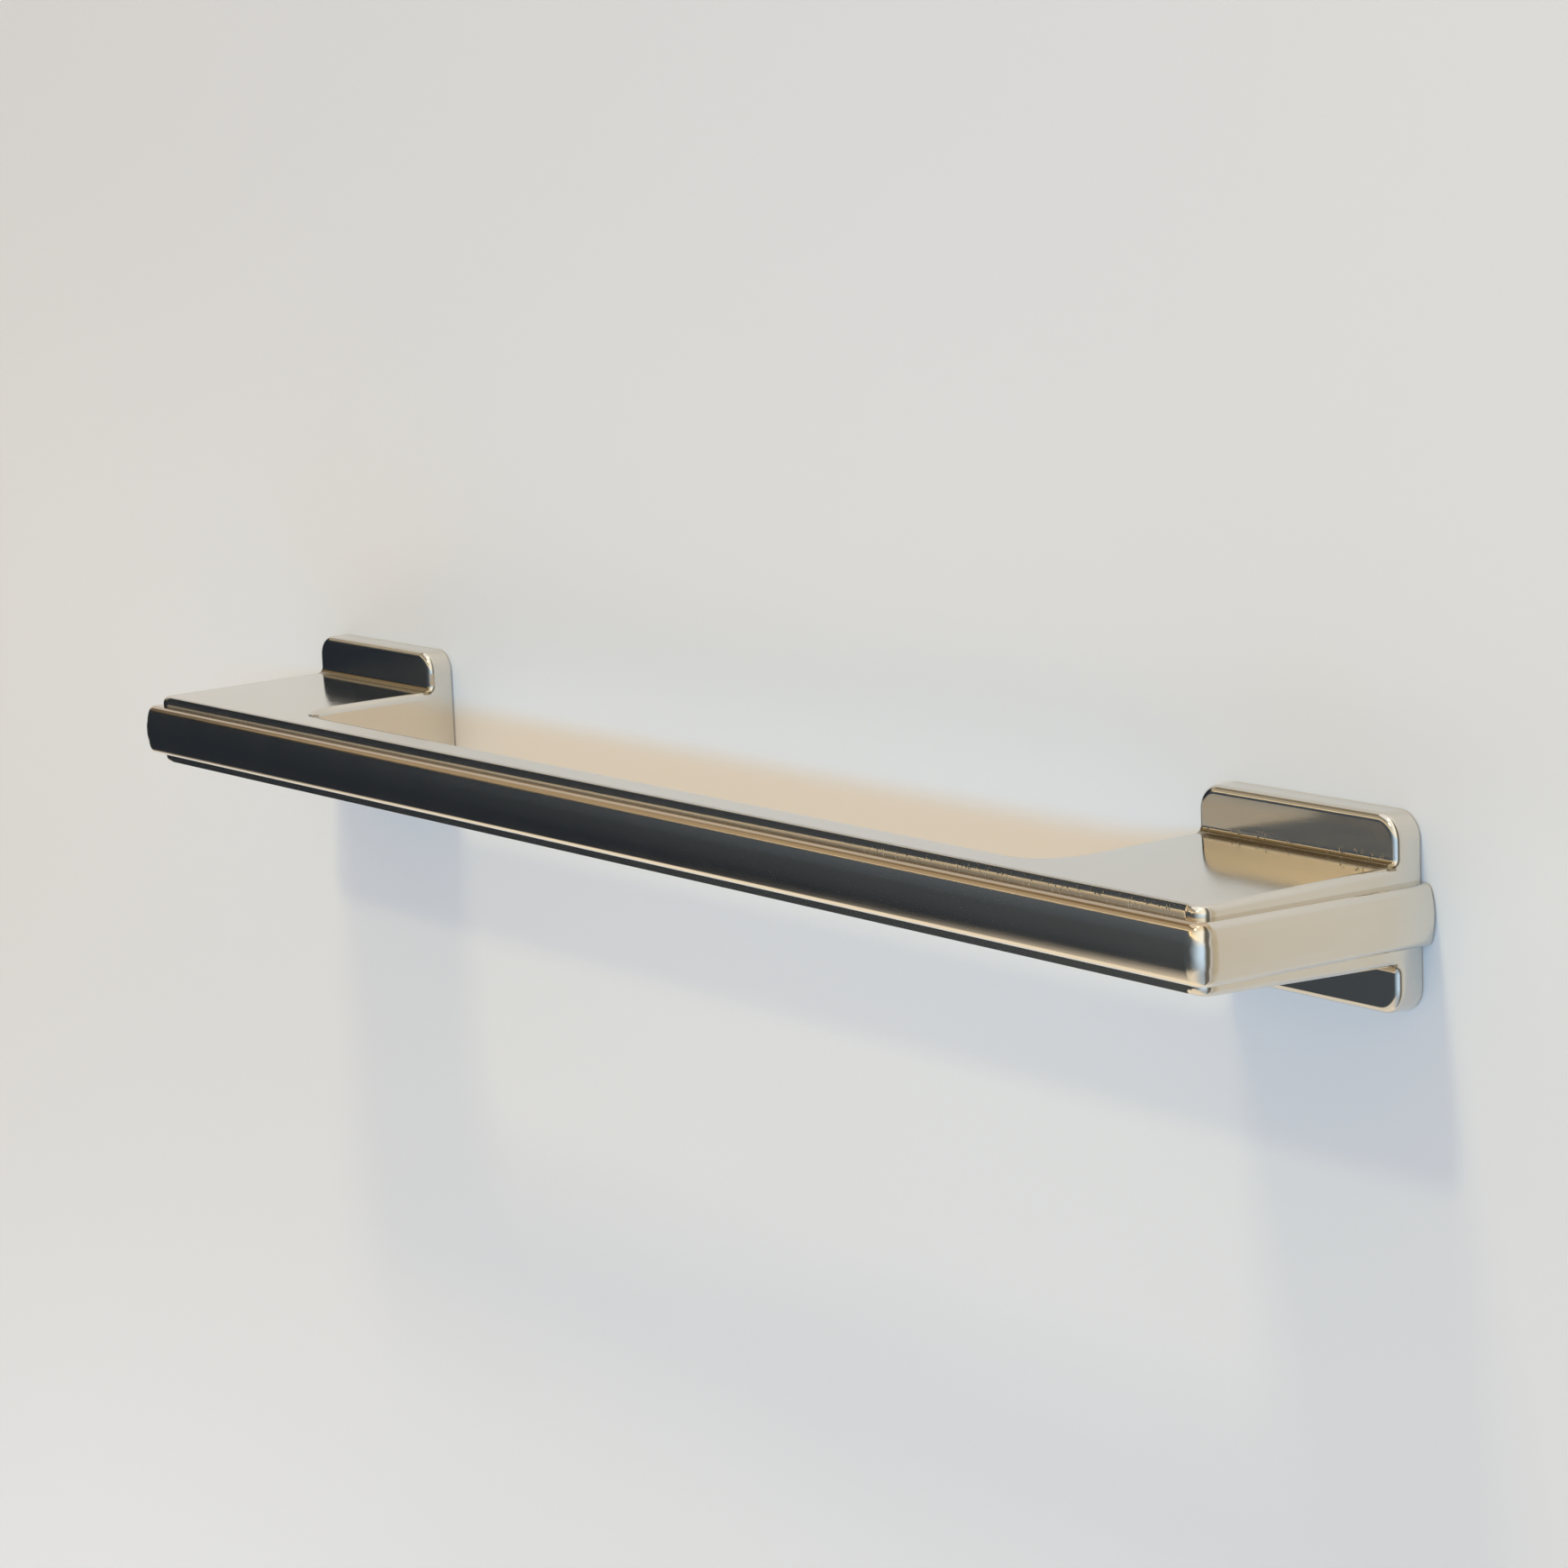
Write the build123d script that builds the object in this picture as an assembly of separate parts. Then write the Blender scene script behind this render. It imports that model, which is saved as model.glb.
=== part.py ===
"""D pull handle: one solid zinc casting, with a raised rim round its outer sides and a flat foot on each leg.

X runs along the handle, Y points at the door and Z is up. The door's face is the plane y = 0, and the origin
lies on it, midway between the two screw holes.
"""
from build123d import *
import math
import os

# Overall layout, in millimetres
HOLE_SPACING = 192.0  # from one fixing screw to the other
PROJECTION = 31.0  # from the door to the front of the rim

# Body, the thick D that a hand closes on
BAR_DEPTH = 5.0  # of the bar between the legs, without the rim in front of it
BODY_HEIGHT_FRONT = 9.1
BODY_HEIGHT_DOOR = 10.5  # the legs grow a little taller towards the door
BODY_CORNER_RADIUS = 1.9  # seen from above, at the two front corners
GRIP_CORNER_RADIUS = 5.8  # seen from above, at the two inner corners

# Feet, the flat plates that meet the door
FOOT_WIDTH = 31.0
FOOT_HEIGHT = 20.8
FOOT_THICKNESS = 3.4
FOOT_CORNER_RADIUS = 2.8  # seen from the front
FOOT_FILLET = 0.8  # in the corner between a leg and the front of its foot

# Rim, the raised band along the two outer sides and the front
RIM_HEIGHT = 6.5
RIM_PROUD = 2.0  # how far it stands out from the body
RIM_CORNER_RADIUS = 2.4  # seen from above
RIM_ROOT = 1.0  # how deep its own solid reaches into the body
CROWN_RADIUS = 8.0  # of its outer face, seen end on

# Edges
EDGE_RADIUS = 0.9  # of the body and the feet
RIM_EDGE_RADIUS = 1.0
BACK_EDGE_RADIUS = 0.3  # where the casting meets the door

# Blind tapped hole in each foot, for a fixing screw through the door
TAP_DRILL_DIAMETER = 3.3  # for an M4 thread
HOLE_DEPTH = 12.0  # to the end of the full diameter
DRILL_POINT_ANGLE = 118.0
MOUTH_DIAMETER = 4.1  # of the small countersink that starts the screw

# Worked out from the sizes above
FOOT_X = HOLE_SPACING / 2
BODY_LENGTH = HOLE_SPACING + FOOT_WIDTH  # a leg is flush with its foot on the outer side
GRIP_LENGTH = HOLE_SPACING - FOOT_WIDTH  # and on the inner side
BODY_DEPTH = PROJECTION - RIM_PROUD
GRIP_DEPTH = BODY_DEPTH - BAR_DEPTH
SMOOTH = 1.0  # faces that meet within this angle, in degrees, run on into each other
NEAR = 0.001  # an edge this near to a plane lies on it


def d_outline(length, depth, corner_radius):
    """A rounded rectangle centred on the door's plane. The half in front of the door is the D."""
    return RectangleRounded(length, 2 * depth, corner_radius)


def in_front_of_door(solid):
    """The part of a solid that lies on the room's side of the door's plane."""
    return split(solid, bisect_by=Plane.XZ, keep=Keep.TOP)


def sharp_edges(solid):
    """The edges in front of the door where two faces meet at an angle."""
    sharp = []
    for edge in solid.edges():
        middle = edge @ 0.5
        normals = [face.normal_at(middle) for face in solid.faces() if edge in face.edges()]
        turned = len(normals) == 2 and normals[0].get_angle(normals[1]) > SMOOTH
        if turned and middle.Y < -NEAR:
            sharp.append(edge)
    return sharp


def make_body():
    """The bar and the legs as one D, cut from a slab whose top and bottom slope apart towards the door."""
    outline = d_outline(BODY_LENGTH, BODY_DEPTH, BODY_CORNER_RADIUS)
    grip = d_outline(GRIP_LENGTH, GRIP_DEPTH, GRIP_CORNER_RADIUS)
    plan = extrude(outline - grip, BODY_HEIGHT_DOOR / 2, both=True)
    side = Polygon(
        (0, BODY_HEIGHT_DOOR / 2),
        (-BODY_DEPTH, BODY_HEIGHT_FRONT / 2),
        (-BODY_DEPTH, -BODY_HEIGHT_FRONT / 2),
        (0, -BODY_HEIGHT_DOOR / 2),
        align=None,
    )
    return plan & extrude(Plane.YZ * side, BODY_LENGTH / 2, both=True)


def make_foot(x):
    """The plate at the door end of one leg."""
    plate = Plane.XZ * Pos(x, 0) * RectangleRounded(FOOT_WIDTH, FOOT_HEIGHT, FOOT_CORNER_RADIUS)
    return extrude(plate, FOOT_THICKNESS)


def fill_foot_corners(handle):
    """The small fillets where the top and bottom of each leg meet the front of its foot."""
    front = handle.edges().filter_by_position(Axis.Y, -FOOT_THICKNESS - NEAR, -FOOT_THICKNESS + NEAR)
    leg_half_height = BODY_HEIGHT_DOOR / 2
    corners = front.filter_by(Axis.X).filter_by_position(Axis.Z, -leg_half_height, leg_half_height)
    return fillet(corners, FOOT_FILLET)


def make_rim():
    """The raised band: a D that leans back above and below its middle, crowned and hollowed to a band."""
    crown_half_height = RIM_HEIGHT / 2 - 0.75 * RIM_EDGE_RADIUS  # up to where the round edges take over
    lean = math.asin(crown_half_height / CROWN_RADIUS)
    crown = CROWN_RADIUS * (1 / math.cos(lean) - 1)  # what the round takes off the ridge
    proud = RIM_PROUD + crown
    outer = d_outline(BODY_LENGTH + 2 * proud, BODY_DEPTH + proud, RIM_CORNER_RADIUS + crown)
    upper = extrude(outer, RIM_HEIGHT / 2, taper=math.degrees(lean))
    block = upper + mirror(upper, Plane.XY)
    ridge = block.edges().filter_by_position(Axis.Z, 0, 0)
    block = fillet(ridge, CROWN_RADIUS)
    rims = block.edges().group_by(Axis.Z)
    block = fillet(rims[0] + rims[-1], RIM_EDGE_RADIUS)
    block = round_back(in_front_of_door(block))
    hollow = d_outline(BODY_LENGTH - 2 * RIM_ROOT, BODY_DEPTH - RIM_ROOT, BODY_CORNER_RADIUS - RIM_ROOT)
    return block - extrude(hollow, RIM_HEIGHT, both=True)


def round_back(solid):
    """Break the outer edges that lie against the door."""
    return fillet(solid.edges().filter_by_position(Axis.Y, 0, 0), BACK_EDGE_RADIUS)


def make_screw_hole(x):
    """One blind hole, drilled from the door side, with its mouth and its drill point."""
    radius = TAP_DRILL_DIAMETER / 2
    mouth_depth = MOUTH_DIAMETER / 2 - radius
    point_depth = radius / math.tan(math.radians(DRILL_POINT_ANGLE / 2))
    profile = Polygon(
        (0, 0),
        (MOUTH_DIAMETER / 2, 0),
        (radius, -mouth_depth),
        (radius, -HOLE_DEPTH),
        (0, -HOLE_DEPTH - point_depth),
        align=None,
    )
    return Pos(x, 0, 0) * revolve(profile, Axis.Y)


def make_handle():
    """The whole casting, with its two screw holes."""
    handle = make_body() + make_foot(-FOOT_X) + make_foot(FOOT_X)
    handle = fill_foot_corners(handle)
    handle = fillet(sharp_edges(handle), EDGE_RADIUS)
    handle = round_back(handle) + make_rim()
    return handle - make_screw_hole(-FOOT_X) - make_screw_hole(FOOT_X)


os.makedirs("parts", exist_ok=True)
pull_handle = make_handle()
print("volume in cubic mm:", round(pull_handle.volume, 1), "valid:", pull_handle.is_valid)
export_step(pull_handle, "parts/pull_handle.step")
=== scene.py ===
"""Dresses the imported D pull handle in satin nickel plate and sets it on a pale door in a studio."""
import math

import bmesh
import bpy
from bpy.props import FloatProperty, FloatVectorProperty, PointerProperty
from mathutils import Matrix, Vector

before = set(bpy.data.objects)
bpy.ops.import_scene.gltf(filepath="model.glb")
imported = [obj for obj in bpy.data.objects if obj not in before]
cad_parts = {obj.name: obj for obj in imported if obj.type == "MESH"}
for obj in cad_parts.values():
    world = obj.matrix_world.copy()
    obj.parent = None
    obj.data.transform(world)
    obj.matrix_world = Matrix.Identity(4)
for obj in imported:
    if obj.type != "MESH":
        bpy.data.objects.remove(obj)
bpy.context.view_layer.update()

bl_info = {
    "name": "D Pull Handle Studio",
    "version": (1, 0, 0),
    "blender": (4, 5, 0),
    "location": "3D View > Sidebar > Handle",
    "description": "Finishes a cast D pull handle in satin nickel and lights it on a pale door",
    "category": "Object",
}

HANDLE = "pull_handle"
MM = 0.001

# Where the camera stood for the photograph, in metres and degrees
CAMERA_PLACE = (0.4390, -0.3029, 0.0868)
CAMERA_AZIMUTH = 55.5
CAMERA_ELEVATION = 9.14
CAMERA_ROLL = -2.22
FOCAL_PIXELS = 4924.5
IMAGE_SIDE = 1740  # the image's width and height in pixels
SENSOR_WIDTH = 36.0  # mm


class Term:
    """An output socket that can be used in an expression: each operator adds its Math node."""

    def __init__(self, tree, socket):
        self.tree = tree
        self.socket = socket

    def __add__(self, other):
        return self.tree.math("ADD", self, other)

    __radd__ = __add__

    def __sub__(self, other):
        return self.tree.math("SUBTRACT", self, other)

    def __rsub__(self, other):
        return self.tree.math("SUBTRACT", other, self)

    def __mul__(self, other):
        return self.tree.math("MULTIPLY", self, other)

    __rmul__ = __mul__

    def __truediv__(self, other):
        return self.tree.math("DIVIDE", self, other)

    def __rtruediv__(self, other):
        return self.tree.math("DIVIDE", other, self)

    def __pow__(self, power):
        return self.tree.math("POWER", self, power)

    def __neg__(self):
        return self * -1.0

    def __abs__(self):
        return self.tree.math("ABSOLUTE", self)

    def at_least(self, other):
        return self.tree.math("MAXIMUM", self, other)

    def at_most(self, other):
        return self.tree.math("MINIMUM", self, other)


class Outputs:
    """A node's outputs as terms, by place or by name."""

    def __init__(self, tree, node):
        self.tree = tree
        self.node = node

    def __getitem__(self, key):
        return Term(self.tree, self.node.outputs[key])


class Tree:
    """A node tree that is emptied and then built up with one method."""

    def __init__(self, owner):
        owner.use_nodes = True
        self.nodes = owner.node_tree.nodes
        self.links = owner.node_tree.links
        self.nodes.clear()

    def add(self, kind, settings=None, sockets=None):
        """Adds a node of a kind, with its settings and then a value or a link for each socket."""
        node = self.nodes.new(kind)
        for name, value in (settings or {}).items():
            setattr(node, name, value)
        for key, value in (sockets or {}).items():
            if isinstance(value, Term):
                self.links.new(value.socket, node.inputs[key])
            else:
                node.inputs[key].default_value = value
        return Outputs(self, node)

    def math(self, operation, *values):
        """The result of one Math node."""
        return self.add("ShaderNodeMath", {"operation": operation}, dict(enumerate(values)))[0]

    def smooth(self, value, low, high):
        """0 below low, 1 above high and a smooth step between them."""
        settings = {"interpolation_type": "SMOOTHSTEP"}
        sockets = {"Value": value, "From Min": low, "From Max": high}
        return self.add("ShaderNodeMapRange", settings, sockets)[0]

    def above(self, value, limit):
        """1 where the value is over the limit, else 0."""
        return self.math("GREATER_THAN", value, limit)

    def between(self, value, low, high, soft):
        """1 from low to high, and 0 further out than soft beyond them."""
        return self.smooth(value, low - soft, low) * (1 - self.smooth(value, high, high + soft))

    def blend(self, factor, first, second):
        """One colour turning into another."""
        sockets = {0: factor, 6: first, 7: second}
        return self.add("ShaderNodeMix", {"data_type": "RGBA"}, sockets)[2]

    def wash(self, color, value, limits, tint):
        """A colour that turns into a tint as the value rises from the first limit to the second."""
        return self.blend(self.smooth(value, *limits), color, tint)

    def tone(self, color, mask, tone):
        """A colour turned towards a tone, as far as the mask and the tone's own strength say."""
        strength, tint = tone
        return self.blend(strength * mask, color, tint)

    def noise(self, vector, scale, detail=2.0, roughness=0.5):
        sockets = {"Vector": vector, "Scale": scale, "Detail": detail, "Roughness": roughness}
        return self.add("ShaderNodeTexNoise", {"noise_dimensions": "3D"}, sockets)[0]

    def cells(self, vector, scale):
        """Cells strewn at random: how far it is to a cell's middle, and a colour for each cell."""
        sockets = {"Vector": vector, "Scale": scale}
        return self.add("ShaderNodeTexVoronoi", {"feature": "F1"}, sockets)

    def stretched(self, vector, scale):
        """The same coordinates with each axis scaled by itself."""
        sockets = {"Vector": vector, "Scale": scale}
        return self.add("ShaderNodeMapping", {"vector_type": "POINT"}, sockets)[0]

    def parts_of(self, vector):
        outputs = self.add("ShaderNodeSeparateXYZ", None, {"Vector": vector})
        return outputs[0], outputs[1], outputs[2]


def shade_of(color, shares):
    """A colour with each of its parts multiplied by a share, ready for a socket."""
    return (*(share * part for share, part in zip(shares, color)), 1.0)


class FinishSettings(bpy.types.PropertyGroup):
    """What a user would change in the handle's plating."""

    nickel: FloatVectorProperty(
        name="Nickel", description="Colour of the plating seen face on",
        subtype="COLOR", size=3, min=0.0, max=1.0, default=(0.80, 0.755, 0.68),
    )
    roughness: FloatProperty(
        name="Roughness", description="How far the satin finish blurs a reflection",
        subtype="FACTOR", min=0.05, max=1.0, default=0.13,
    )
    grain_width: FloatProperty(
        name="Grain width", description="Width of the fine satin lines",
        subtype="DISTANCE", unit="LENGTH", min=0.00001, max=0.001, default=0.00012,
    )
    grain_depth: FloatProperty(
        name="Grain depth", description="Height of the satin lines from trough to crest",
        subtype="DISTANCE", unit="LENGTH", min=0.0, max=0.0001, default=0.0000015,
    )
    pit_depth: FloatProperty(
        name="Pit depth", description="Depth of the pin holes that the casting left in its corners",
        subtype="DISTANCE", unit="LENGTH", min=0.0, max=0.0005, default=0.00002,
    )
    wear: FloatProperty(
        name="Edge wear", description="How far handling has polished the round edges",
        subtype="FACTOR", min=0.0, max=1.0, default=0.5,
    )


class StudioSettings(bpy.types.PropertyGroup):
    """What a user would change in the room round the handle."""

    door: FloatVectorProperty(
        name="Door", description="Colour of the painted door behind the handle",
        subtype="COLOR", size=3, min=0.0, max=1.0, default=(0.77, 0.765, 0.765),
    )
    floor: FloatVectorProperty(
        name="Floor", description="Colour of the floor",
        subtype="COLOR", size=3, min=0.0, max=1.0, default=(0.64, 0.77, 0.92),
    )
    ambient: FloatVectorProperty(
        name="Ambient light", description="Colour of the even light from all round",
        subtype="COLOR", size=3, min=0.0, max=1.0, default=(0.80, 0.61, 0.44),
    )
    window: FloatVectorProperty(
        name="Window light",
        description="What a white door would show of the cool light from the window",
        subtype="COLOR", size=3, min=0.0, max=1.0, default=(0.0, 0.18, 0.37),
    )


# Where the casting's details lie, in millimetres. Heights count from the middle, up and down alike
STRIP_FRONT = -29.0  # the y of the narrow strip of the bar's front above and below the rim
STRIP_FOOT = 3.28  # the height where it meets the rim
STRIP_TOP = 4.55  # the height where it meets the bar's top
STRIP_ROUND = 0.9  # the radius of the edge there
STRIP_HALF_LENGTH = 109.3
STRIP_FADE = 0.8  # over this length the turned normal fades out at the strip's ends
STRIP_CLEAR = 0.02  # what lies further than this in front of the strip isn't turned
RIM_CLEAR = 0.03  # what lies further than this in front of the strip is the rim
LEG_INSIDE = 80.5  # the x of a leg's inner side
FOOT_FRONT = -3.4  # the y of a foot's front

# The turned normal: how far round the bar's edge it starts and ends, in degrees
ROUND_TURNS = (56.0, 70.0)
CREASE_TURN = 58.0  # degrees upwards, in the crease above the rim
CREASE_WIDTH = 0.60  # mm, at the bar's middle
CREASE_GROWTH = 0.40  # mm more at its right end
CREASE_ALONG = (0.0, 108.0)

# Pin holes, in millimetres: where they start, where they end and how softly
EDGE_PITS_FORWARD = (28.35, 29.02, 0.15)
EDGE_PITS_HEIGHT = (3.5, 4.2, 0.3)
EDGE_PITS_ALONG = (75.0, 104.0, 50.0)
JOINT_PITS_FORWARD = (3.3, 3.75, 0.15)
JOINT_PITS_HEIGHT = (5.3, 6.15, 0.2)
LONE_PITS_FORWARD = 27.0  # single ones lie further forward than this
LOWER_PITS = 0.25  # how strong they are on the lower half

# Their sizes: cells to a metre, the share of cells without one, and its radius in cells
ROW_PITS = (2600.0, 0.62, (0.18, 0.42))
LONE_PITS = (300.0, 0.95, (0.025, 0.05))

# The plating's texture: how its lines are drawn out along x, and the patches to a metre
LINE_STRETCH = (0.06, 1.0, 1.0)
STREAK_STRETCH = (0.04, 1.0, 1.0)
STREAK_SHARE = 0.2  # of the lines' scale
GRAIN_SHARE = 0.8
CLOUDS = 90.0
WEAR_PATCHES = 700.0
WEAR_LIMITS = (0.35, 0.65)
ROUND_LIMITS = (0.80, 0.94)  # a face's largest part of its normal: below is round, above is flat

# Shares of the nickel's colour
CLOUD_SHARES = (0.95, 0.95, 0.95)
LINE_SHARES = (0.5, 0.5, 0.5)
# Painted reflection: the right leg's outer side is made warmer, as its mirrored room
SIDE_PAINTED_REFLECTION_SHARES = (0.93, 0.885, 0.81)
LINE_STRENGTH = 0.05

# Tones of single places: how strong each is, and its linear colour. The wear and the pin holes are
# the metal's own; the rest are painted reflections and painted shade
WORN_TONE = (0.30, (0.86, 0.82, 0.74, 1.0))
# Painted reflections on the rim's front: a tan band on its upper edge and a pale band on its lower
# edge
RIM_TOP_PAINTED_REFLECTION = (0.95, (0.62, 0.49, 0.35, 1.0))
RIM_LOW_PAINTED_REFLECTION = (0.80, (0.94, 0.86, 0.73, 1.0))
# Painted shade: the fronts of the feet are made darker
FOOT_PAINTED_SHADE = (0.80, (0.60, 0.61, 0.60, 1.0))
# Painted shade in the crease where a leg's top meets its foot
JOINT_PAINTED_SHADE = (0.85, (0.26, 0.19, 0.09, 1.0))
PIT_TONE = (0.55, (0.20, 0.17, 0.13, 1.0))

# Where those places are, in millimetres or as parts of a face's normal
RIM_REFLECTION_HEIGHTS = (2.4, 2.9)
FOOT_FACING = (0.5, 0.95)
SIDE_FACING = (0.90, 0.99)
SIDE_FROM = 100.0
SIDE_FORWARD = (1.0, 7.0)
JOINT_SHADE_FORWARD = (3.5, 4.3, 0.25)
JOINT_SHADE_HEIGHT = (4.9, 5.6, 0.2)
JOINT_SHADE_OVERLAP = 0.5  # the painted shade in the joint reaches this far past a leg's inner side

# What each detail adds to the roughness
ROUGH_AT_DOOR = 0.68  # the share of the roughness that the legs have near the door
ROUGH_FORWARD = (6.0, 24.0)
UNEVEN_ROUGHNESS = 0.05
WORN_ROUGHNESS = -0.05
STRIP_ROUGHNESS = 0.07
FOOT_ROUGHNESS = 0.05
PIT_ROUGHNESS = 0.15
GRAIN_RELIEF = 0.6  # the grains' height as a share of the lines'


def crisp_normal(tree, geometry, x, y, z):
    """A normal that makes the edge above the rim look tighter, and 1 where it is turned, else 0."""
    height = abs(z)
    round_foot = STRIP_TOP - STRIP_ROUND
    angle = tree.math("ARCTAN2", height - round_foot, (STRIP_FRONT + STRIP_ROUND) - y)
    angle = angle * tree.above(height, round_foot)
    outer = tree.smooth(angle, *(math.radians(turn) for turn in ROUND_TURNS)) * (math.pi / 2)
    reach = STRIP_FOOT + CREASE_WIDTH + CREASE_GROWTH * tree.smooth(x, *CREASE_ALONG)
    crease = (1 - tree.smooth(height, STRIP_FOOT, reach)) * tree.above(z, 0.0)
    turned = outer + crease * math.radians(CREASE_TURN)
    forward = -tree.math("COSINE", turned)
    upward = tree.math("SIGN", z) * tree.math("SINE", turned)
    crisp = tree.add("ShaderNodeCombineXYZ", None, {"X": 0.0, "Y": forward, "Z": upward})[0]
    inside = (
        (1 - tree.smooth(abs(x), STRIP_HALF_LENGTH - STRIP_FADE, STRIP_HALF_LENGTH))
        * tree.above(height, STRIP_FOOT)
        * tree.above(-y, -STRIP_FRONT - STRIP_ROUND)
        * tree.above(y, STRIP_FRONT - STRIP_CLEAR)
    )
    sockets = {0: inside, 4: geometry["Normal"], 5: crisp}
    return tree.add("ShaderNodeMix", {"data_type": "VECTOR"}, sockets)[1], inside


def pits_in_cells(tree, place, sizes, channel):
    """Round spots in some of a texture's cells, which a channel of the cell's colour picks."""
    scale, bare_share, radii = sizes
    cells = tree.cells(place, scale)
    luck = tree.parts_of(cells["Color"])[channel]
    return (1 - tree.smooth(cells["Distance"], *radii)) * tree.above(luck, bare_share)


def pin_holes(tree, place, x, y, z):
    """How much of each spot is a pin hole: rows on the bar's edge and the feet, and lone ones."""
    height = abs(z)
    edge = (
        tree.between(-y, *EDGE_PITS_FORWARD)
        * tree.between(height, *EDGE_PITS_HEIGHT)
        * tree.between(x, *EDGE_PITS_ALONG)
    )
    joint = (
        tree.between(-y, *JOINT_PITS_FORWARD)
        * tree.between(height, *JOINT_PITS_HEIGHT)
        * tree.above(x, LEG_INSIDE)
    )
    where = (edge + joint).at_least(0.0).at_most(1.0)
    half = LOWER_PITS + (1 - LOWER_PITS) * tree.above(z, 0.0)
    lone = pits_in_cells(tree, place, LONE_PITS, 1) * tree.above(-y, LONE_PITS_FORWARD)
    return pits_in_cells(tree, place, ROW_PITS, 0) * half * where + lone


def nickel_material(finish):
    """Satin nickel plate: warm metal with fine lines along the handle, worn edges, pin holes, painted
    shade and reflections.
    """
    material = bpy.data.materials.new("satin_nickel_plate")
    tree = Tree(material)
    geometry = tree.add("ShaderNodeNewGeometry")
    place = geometry["Position"]
    x, y, z = (part / MM for part in tree.parts_of(place))
    per_metre = 1 / finish.grain_width
    lines = tree.noise(tree.stretched(place, LINE_STRETCH), per_metre, detail=3.0, roughness=0.6)
    streaks = tree.noise(tree.stretched(place, STREAK_STRETCH), STREAK_SHARE * per_metre)
    grains = tree.noise(place, GRAIN_SHARE * per_metre, detail=1.0)
    cloud = tree.noise(place, CLOUDS, detail=3.0)
    patches = tree.noise(place, WEAR_PATCHES, detail=3.0)
    pits = pin_holes(tree, place, x, y, z)
    normal, strip = crisp_normal(tree, geometry, x, y, z)

    facing = tree.parts_of(geometry["True Normal"])
    flatness = abs(facing[0]).at_least(abs(facing[1]).at_least(abs(facing[2])))
    edges = 1 - tree.smooth(flatness, *ROUND_LIMITS)
    worn = edges * tree.smooth(patches, *WEAR_LIMITS) * finish.wear
    rim_front = tree.above(-y, RIM_CLEAR - STRIP_FRONT)
    foot_face = tree.smooth(-facing[1], *FOOT_FACING) * tree.above(y, 2 * FOOT_FRONT)
    side = (
        tree.smooth(facing[0], *SIDE_FACING)
        * tree.above(x, SIDE_FROM)
        * tree.smooth(-y, *SIDE_FORWARD)
    )
    joint = (
        tree.between(-y, *JOINT_SHADE_FORWARD)
        * tree.between(abs(z), *JOINT_SHADE_HEIGHT)
        * tree.above(abs(x), LEG_INSIDE - JOINT_SHADE_OVERLAP)
    )

    base = (*finish.nickel, 1.0)
    color = tree.blend(cloud, shade_of(base, CLOUD_SHARES), base)
    fine = LINE_STRENGTH * grains + LINE_STRENGTH * streaks
    color = tree.blend(fine, color, shade_of(base, LINE_SHARES))
    color = tree.tone(color, worn, WORN_TONE)
    # Painted reflections: tan on the rim's upper edge, pale on its lower edge
    color = tree.tone(color, rim_front * tree.smooth(z, *RIM_REFLECTION_HEIGHTS), RIM_TOP_PAINTED_REFLECTION)
    color = tree.tone(color, rim_front * tree.smooth(-z, *RIM_REFLECTION_HEIGHTS), RIM_LOW_PAINTED_REFLECTION)
    # Painted shade on the fronts of the feet
    color = tree.tone(color, foot_face, FOOT_PAINTED_SHADE)
    # Painted warm reflection on the right leg's outer side
    color = tree.blend(side, color, shade_of(base, SIDE_PAINTED_REFLECTION_SHARES))
    # Painted shade in the crease where a leg's top meets its foot
    color = tree.tone(color, joint, JOINT_PAINTED_SHADE)
    color = tree.tone(color, pits.at_least(0.0).at_most(1.0), PIT_TONE)

    forward = tree.smooth(-y, *ROUGH_FORWARD)
    rough = finish.roughness * (ROUGH_AT_DOOR + (1 - ROUGH_AT_DOOR) * forward)
    for texture in (lines, streaks, cloud):
        rough = rough + UNEVEN_ROUGHNESS * (texture - 0.5)
    rough = (
        rough
        + WORN_ROUGHNESS * worn
        + STRIP_ROUGHNESS * strip
        + FOOT_ROUGHNESS * foot_face
        + PIT_ROUGHNESS * pits
    )

    relief = finish.grain_depth * (lines + GRAIN_RELIEF * grains) - finish.pit_depth * pits
    sockets = {"Strength": 1.0, "Distance": 1.0, "Height": relief, "Normal": normal}
    bump = tree.add("ShaderNodeBump", None, sockets)["Normal"]
    sockets = {"Base Color": color, "Metallic": 1.0, "Roughness": rough, "Normal": bump}
    shader = tree.add("ShaderNodeBsdfPrincipled", None, sockets)[0]
    tree.add("ShaderNodeOutputMaterial", None, {"Surface": shader})
    return material


class HANDLE_OT_finish(bpy.types.Operator):
    """Plate the casting in satin nickel"""

    bl_idname = "pull_handle.finish"
    bl_label = "Plate the casting"

    def execute(self, context):
        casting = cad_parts[HANDLE]
        material = nickel_material(context.scene.handle_finish)
        for slot in casting.material_slots:
            slot.material = material
        return {"FINISHED"}


# The door and the floor, in metres
DOOR_HALF_WIDTH = 0.75
DOOR_HALF_HEIGHT = 0.5
DOOR_GAP = 0.0001  # the door stands this far behind the feet
FOOT_CENTRE = 0.096
FOOT_HALF_WIDTH = 0.0155
FOOT_HALF_HEIGHT = 0.0104
FOOT_CORNER = 0.0028
CUT_INSET = 0.0004  # the holes behind the feet are this much smaller than the feet all round
FLOOR_DROP = 0.5
FLOOR_RADIUS = 1.0
FLOOR_SIDES = 96
FLOOR_FADE = (0.7, 0.98)  # shares of the radius between which it fades out

# How the door's colour varies, from its own mottle and from painted light and shade: shares of its
# colour, and the metres over which each comes in
MOTTLE_SHARES = (0.975, 0.975, 0.975)
MOTTLES = 14.0  # patches to a metre
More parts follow.
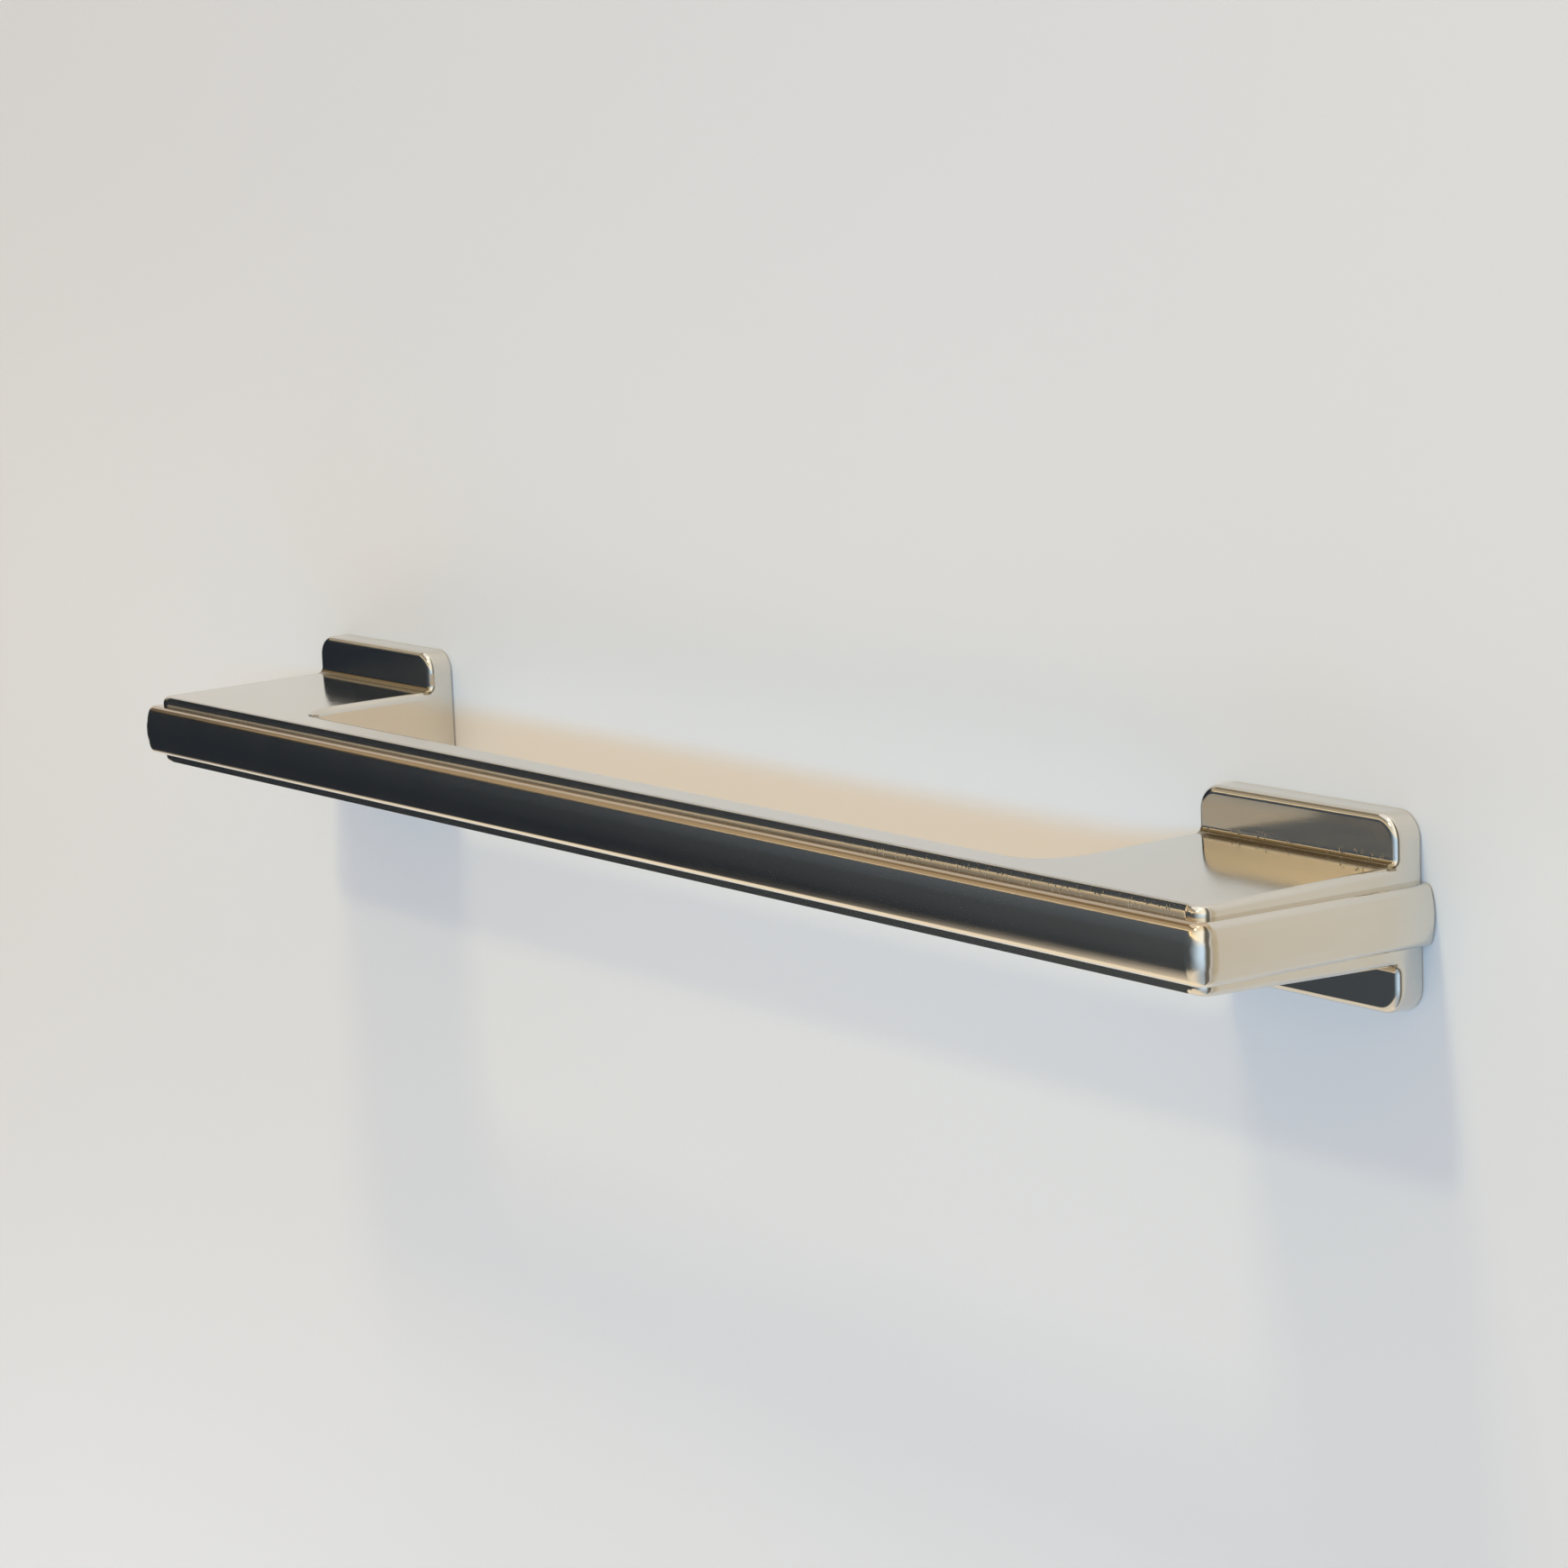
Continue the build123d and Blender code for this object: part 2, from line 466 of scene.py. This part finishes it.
# Painted shade: the door is darker towards the top
UPPER_PAINTED_SHADE_SHARES = (0.89, 0.90, 0.93)
UPPER_PAINTED_SHADE_HEIGHTS = (-0.01, 0.11)
# Painted light: the door is lighter at the lower left
LOWER_LEFT_PAINTED_LIGHT_SHARES = (1.17, 1.19, 1.24)
LOWER_LEFT_PAINTED_LIGHT_DEPTHS = (0.02, 0.22)
LOWER_LEFT_PAINTED_LIGHT_LEFTWARDS = (-0.08, 0.22)
# Painted shade: the door is warmer and a little darker to the right
RIGHT_PAINTED_SHADE_SHARES = (0.955, 0.925, 0.895)
RIGHT_PAINTED_SHADE_STRENGTH = 0.8
RIGHT_PAINTED_SHADE_ALONG = (0.02, 0.17)
# Painted warm reflection: the door's colour as the metal mirrors it
WARM_PAINTED_REFLECTION_SHARES = (0.82, 0.72, 0.56)  # right of the picture, and only as the metal mirrors it
WARM_PAINTED_REFLECTION_ALONG = (0.120, 0.200)


def add_to_stage(name, mesh, material):
    """Puts a mesh in the scene as a part of the studio and not of the handle."""
    mesh.materials.append(material)
    made = bpy.data.objects.new(name, mesh)
    bpy.context.scene.collection.objects.link(made)
    return made


def door_mesh():
    """The door's face, a plain rectangle just behind the feet."""
    signs = [(-1, -1), (1, -1), (1, 1), (-1, 1)]
    corners = [(i * DOOR_HALF_WIDTH, DOOR_GAP, j * DOOR_HALF_HEIGHT) for i, j in signs]
    mesh = bpy.data.meshes.new("door_face")
    mesh.from_pydata(corners, [], [(0, 1, 2, 3)])
    return mesh


def behind_feet(tree, x, z):
    """1 behind a foot, where the door has a hole so that the foot's back shows, else 0."""
    across = abs(abs(x) - FOOT_CENTRE) - (FOOT_HALF_WIDTH - FOOT_CORNER)
    upwards = abs(z) - (FOOT_HALF_HEIGHT - FOOT_CORNER)
    across = across.at_least(0.0)
    upwards = upwards.at_least(0.0)
    return 1 - tree.above((across * across + upwards * upwards) ** 0.5, FOOT_CORNER - CUT_INSET)


def door_material(color):
    """Pale satin paint, seen from the room's side only, with painted light and shade and a painted
    warm reflection.
    """
    material = bpy.data.materials.new("door_paint")
    tree = Tree(material)
    geometry = tree.add("ShaderNodeNewGeometry")
    x, _, z = tree.parts_of(geometry["Position"])
    mottle = tree.noise(geometry["Position"], MOTTLES)
    shade = tree.blend(mottle, shade_of(color, MOTTLE_SHARES), (*color, 1.0))
    # Painted shade and light: darker towards the top, lighter at the lower left, warmer and darker to
    # the right
    shade = tree.wash(shade, z, UPPER_PAINTED_SHADE_HEIGHTS, shade_of(color, UPPER_PAINTED_SHADE_SHARES))
    painted_low_left_light = tree.smooth(-z, *LOWER_LEFT_PAINTED_LIGHT_DEPTHS) * tree.smooth(-x, *LOWER_LEFT_PAINTED_LIGHT_LEFTWARDS)
    shade = tree.blend(painted_low_left_light, shade, shade_of(color, LOWER_LEFT_PAINTED_LIGHT_SHARES))
    right = RIGHT_PAINTED_SHADE_STRENGTH * tree.smooth(x, *RIGHT_PAINTED_SHADE_ALONG)
    shade = tree.blend(right, shade, shade_of(color, RIGHT_PAINTED_SHADE_SHARES))
    # Painted warm reflection: the door turns warmer only for rays that the metal mirrors
    painted_warm_reflection = tree.add("ShaderNodeLightPath")["Is Glossy Ray"] * tree.smooth(x, *WARM_PAINTED_REFLECTION_ALONG)
    shade = tree.blend(painted_warm_reflection, shade, shade_of(color, WARM_PAINTED_REFLECTION_SHARES))
    sockets = {"Base Color": shade, "Roughness": 0.4}
    paint = tree.add("ShaderNodeBsdfPrincipled", None, sockets)[0]
    clear = tree.add("ShaderNodeBsdfTransparent")[0]
    hidden = geometry["Backfacing"].at_least(behind_feet(tree, x, z))
    surface = tree.add("ShaderNodeMixShader", None, {0: hidden, 1: paint, 2: clear})[0]
    tree.add("ShaderNodeOutputMaterial", None, {"Surface": surface})
    return material


def floor_mesh():
    """A disc below the handle."""
    work = bmesh.new()
    bmesh.ops.create_circle(work, cap_ends=True, segments=FLOOR_SIDES, radius=FLOOR_RADIUS)
    bmesh.ops.translate(work, vec=(0.0, 0.0, -FLOOR_DROP), verts=work.verts)
    mesh = bpy.data.meshes.new("floor_disc")
    work.to_mesh(mesh)
    work.free()
    return mesh


def floor_material(color):
    """A pale floor that fades into the backdrop with distance."""
    material = bpy.data.materials.new("pale_floor")
    tree = Tree(material)
    x, y, _ = tree.parts_of(tree.add("ShaderNodeNewGeometry")["Position"])
    distance = (x * x + y * y) ** 0.5
    sockets = {"Base Color": (*color, 1.0), "Roughness": 0.7}
    paint = tree.add("ShaderNodeBsdfPrincipled", None, sockets)[0]
    clear = tree.add("ShaderNodeBsdfTransparent")[0]
    fade = tree.smooth(distance, *(share * FLOOR_RADIUS for share in FLOOR_FADE))
    surface = tree.add("ShaderNodeMixShader", None, {0: fade, 1: paint, 2: clear})[0]
    tree.add("ShaderNodeOutputMaterial", None, {"Surface": surface})
    return material


# Lamps: name, azimuth, elevation, distance, width, height and what a white door would show
HIGH_LAMP = ("high_lamp", -101.0, 68.6, 1.4, 0.30, 0.14, (0.10, 0.085, 0.05))
LOW_LAMP = ("low_lamp", -90.0, 39.0, 1.4, 0.10, 0.08, (0.10, 0.09, 0.05))
BOUNCE = ("bounce", -120.0, -45.0, 0.9, 1.0, 0.8, (0.19, 0.19, 0.19))
WINDOW = ("window", -60.0, 4.1, 1.5, 1.2, 0.16)  # the setting says what this one shows

# What the plating mirrors: linear colours, and the degrees of turn, height or depth over which
# each comes in. Turns count from the handle's left, round through the room
SHADE_LEFT = (0.021, 0.026, 0.034, 1.0)
SHADE_RIGHT = (0.078, 0.088, 0.097, 1.0)
SHADE_TURNS = (27.0, 44.0)
HAZE = (0.10, 0.12, 0.145, 1.0)
HAZE_TURNS = (29.0, 38.0)
HAZE_HEIGHTS = (-2.0, 8.0)
TAN = (1.90, 1.42, 0.77, 1.0)
TAN_HIGH = (0.56, 0.47, 0.335, 1.0)
TAN_HEIGHTS = (13.5, 19.0)
TAN_FOOT = 12.2  # the height where the tan begins
TAN_FOOT_TURN = 38.0  # further left than this it begins higher
TAN_FOOT_SLOPE = 0.5  # degrees higher for each degree further left
TAN_FOOT_SOFT = (-0.4, 0.6)  # degrees above where it begins
BROWN = (0.27, 0.21, 0.13, 1.0)
BROWN_HEIGHTS = (32.5, 35.5)
CEILING = (1.05, 1.02, 0.95, 1.0)
CEILING_HEIGHTS = (41.0, 47.0)
TABLE = (0.98, 0.85, 0.67, 1.0)
TABLE_DEPTHS = (24.5, 31.5)
PANE_LOW = (0.46, 0.54, 0.62, 1.0)
PANE_MIDDLE = (0.76, 0.98, 1.22, 1.0)
PANE_MIDDLE_HEIGHTS = (-40.0, -6.0)
PANE_HIGH = (1.25, 1.20, 1.03, 1.0)
PANE_HIGH_HEIGHTS = (-2.0, 16.0)
PANE_TURNS = (66.0, 132.0)
GAP = (0.15, 0.14, 0.12, 1.0)
GAP_TURNS = (138.0, 156.0)
PALE = (0.68, 0.66, 0.62, 1.0)
PALE_TURNS = (168.0, 178.0)
PALE_BACK_TURNS = (-3.0, 3.0)
GLOW = (4.0, 3.7, 2.9, 1.0)
GLOW_RADII = (8.0, 4.0)  # where a lamp's glow begins and where it is full
WHITE = (1.0, 1.0, 1.0, 1.0)


def direction(azimuth, elevation):
    """A unit vector from an angle about Z, counted from +X, and a height above the horizon."""
    a = math.radians(azimuth)
    e = math.radians(elevation)
    return Vector((math.cos(a) * math.cos(e), math.sin(a) * math.cos(e), math.sin(e)))


def add_lamp(name, azimuth, elevation, distance, width, height, shown):
    """An even rectangular lamp that faces the handle and lights the door up to a given colour."""
    towards = direction(azimuth, elevation)
    strongest = max(shown)
    lamp = bpy.data.lights.new(name, "AREA")
    lamp.shape = "RECTANGLE"
    lamp.size = width
    lamp.size_y = height
    lamp.color = tuple(value / strongest for value in shown)
    lamp.energy = strongest * (math.pi * distance) ** 2 / -towards.y
    box = bpy.data.objects.new(name, lamp)
    bpy.context.scene.collection.objects.link(box)
    box.location = distance * towards
    box.rotation_mode = "QUATERNION"
    box.rotation_quaternion = towards.to_track_quat("Z", "Y")
    box.visible_camera = False
    box.visible_glossy = False


def room_in_metal(tree, towards):
    """The room as the plating mirrors it: shade in front, tan above and a window to the right."""
    x, y, z = tree.parts_of(towards)
    height = tree.math("ARCSINE", z) * math.degrees(1)
    turn = tree.math("ARCTAN2", -y, -x) * math.degrees(1)
    color = tree.blend(tree.smooth(turn, *SHADE_TURNS), SHADE_LEFT, SHADE_RIGHT)
    hazy = tree.smooth(turn, *HAZE_TURNS) * tree.smooth(height, *HAZE_HEIGHTS)
    color = tree.blend(hazy, color, HAZE)
    tan_foot = TAN_FOOT + TAN_FOOT_SLOPE * (TAN_FOOT_TURN - turn).at_least(0.0)
    tan = tree.blend(tree.smooth(height, *TAN_HEIGHTS), TAN, TAN_HIGH)
    color = tree.wash(color, height - tan_foot, TAN_FOOT_SOFT, tan)
    color = tree.wash(color, height, BROWN_HEIGHTS, BROWN)
    color = tree.wash(color, height, CEILING_HEIGHTS, CEILING)
    color = tree.wash(color, -height, TABLE_DEPTHS, TABLE)
    pane = tree.blend(tree.smooth(height, *PANE_MIDDLE_HEIGHTS), PANE_LOW, PANE_MIDDLE)
    pane = tree.wash(pane, height, PANE_HIGH_HEIGHTS, PANE_HIGH)
    color = tree.wash(color, turn, PANE_TURNS, pane)
    color = tree.wash(color, turn, GAP_TURNS, GAP)
    color = tree.wash(color, turn, PALE_TURNS, PALE)
    color = tree.wash(color, -turn, PALE_BACK_TURNS, PALE)
    glow_edge, glow_core = (math.cos(math.radians(radius)) for radius in GLOW_RADII)
    for _, azimuth, elevation, *_ in (HIGH_LAMP, LOW_LAMP):
        sockets = {0: towards, 1: direction(azimuth, elevation)}
        dot = tree.add("ShaderNodeVectorMath", {"operation": "DOT_PRODUCT"}, sockets)
        color = tree.wash(color, dot["Value"], (glow_edge, glow_core), GLOW)
    return color


def set_world(ambient):
    """Even light from all round, a white background, and the room for the metal to mirror."""
    world = bpy.data.worlds.new("studio_air")
    tree = Tree(world)
    ray = tree.add("ShaderNodeLightPath")
    towards = tree.add("ShaderNodeTexCoord")["Generated"]
    color = tree.blend(ray["Is Glossy Ray"], (*ambient, 1.0), room_in_metal(tree, towards))
    color = tree.blend(ray["Is Camera Ray"], color, WHITE)
    air = tree.add("ShaderNodeBackground", None, {"Color": color, "Strength": 1.0})[0]
    tree.add("ShaderNodeOutputWorld", None, {"Surface": air})
    world.cycles.sampling_method = "NONE"
    bpy.context.scene.world = world


def add_camera():
    """The camera where the photograph was taken from."""
    azimuth = math.radians(CAMERA_AZIMUTH)
    elevation = math.radians(CAMERA_ELEVATION)
    roll = math.radians(CAMERA_ROLL)
    forward = Vector((
        -math.sin(azimuth) * math.cos(elevation),
        math.cos(azimuth) * math.cos(elevation),
        -math.sin(elevation),
    ))
    level = Vector((math.cos(azimuth), math.sin(azimuth), 0.0))
    upright = level.cross(forward)
    right = math.cos(roll) * level + math.sin(roll) * upright
    up = math.cos(roll) * upright - math.sin(roll) * level
    camera = bpy.data.cameras.new("camera")
    camera.sensor_width = SENSOR_WIDTH
    camera.lens = FOCAL_PIXELS * SENSOR_WIDTH / IMAGE_SIDE
    camera.clip_start = 0.01
    camera.clip_end = 50.0
    stand = bpy.data.objects.new("camera", camera)
    bpy.context.scene.collection.objects.link(stand)
    turned = Matrix((right, up, -forward)).transposed().to_4x4()
    stand.matrix_world = Matrix.Translation(CAMERA_PLACE) @ turned
    bpy.context.scene.camera = stand


class HANDLE_OT_studio(bpy.types.Operator):
    """Set up the door, the floor, the lamps, the room and the camera"""

    bl_idname = "pull_handle.studio"
    bl_label = "Set up the studio"

    def execute(self, context):
        studio = context.scene.handle_studio
        add_to_stage("door", door_mesh(), door_material(studio.door))
        floor = add_to_stage("floor", floor_mesh(), floor_material(studio.floor))
        floor.visible_glossy = False
        for lamp in (HIGH_LAMP, LOW_LAMP, BOUNCE, (*WINDOW, tuple(studio.window))):
            add_lamp(*lamp)
        set_world(studio.ambient)
        add_camera()
        context.scene.view_settings.view_transform = "Standard"
        return {"FINISHED"}


class HANDLE_PT_panel(bpy.types.Panel):
    """The handle's settings and steps"""

    bl_idname = "HANDLE_PT_panel"
    bl_label = "D Pull Handle"
    bl_space_type = "VIEW_3D"
    bl_region_type = "UI"
    bl_category = "Handle"

    def draw(self, context):
        for owner in (context.scene.handle_finish, context.scene.handle_studio):
            column = self.layout.column(align=True)
            for name in owner.__annotations__:
                column.prop(owner, name)
        for step in STEPS:
            self.layout.operator(step.bl_idname)


STEPS = (HANDLE_OT_finish, HANDLE_OT_studio)
CLASSES = (FinishSettings, StudioSettings, *STEPS, HANDLE_PT_panel)


def register():
    for added in CLASSES:
        bpy.utils.register_class(added)
    bpy.types.Scene.handle_finish = PointerProperty(type=FinishSettings)
    bpy.types.Scene.handle_studio = PointerProperty(type=StudioSettings)


def unregister():
    del bpy.types.Scene.handle_studio
    del bpy.types.Scene.handle_finish
    for added in reversed(CLASSES):
        bpy.utils.unregister_class(added)


def main():
    """Builds the whole picture."""
    register()
    bpy.ops.pull_handle.finish()
    bpy.ops.pull_handle.studio()


if __name__ == "__main__":
    main()
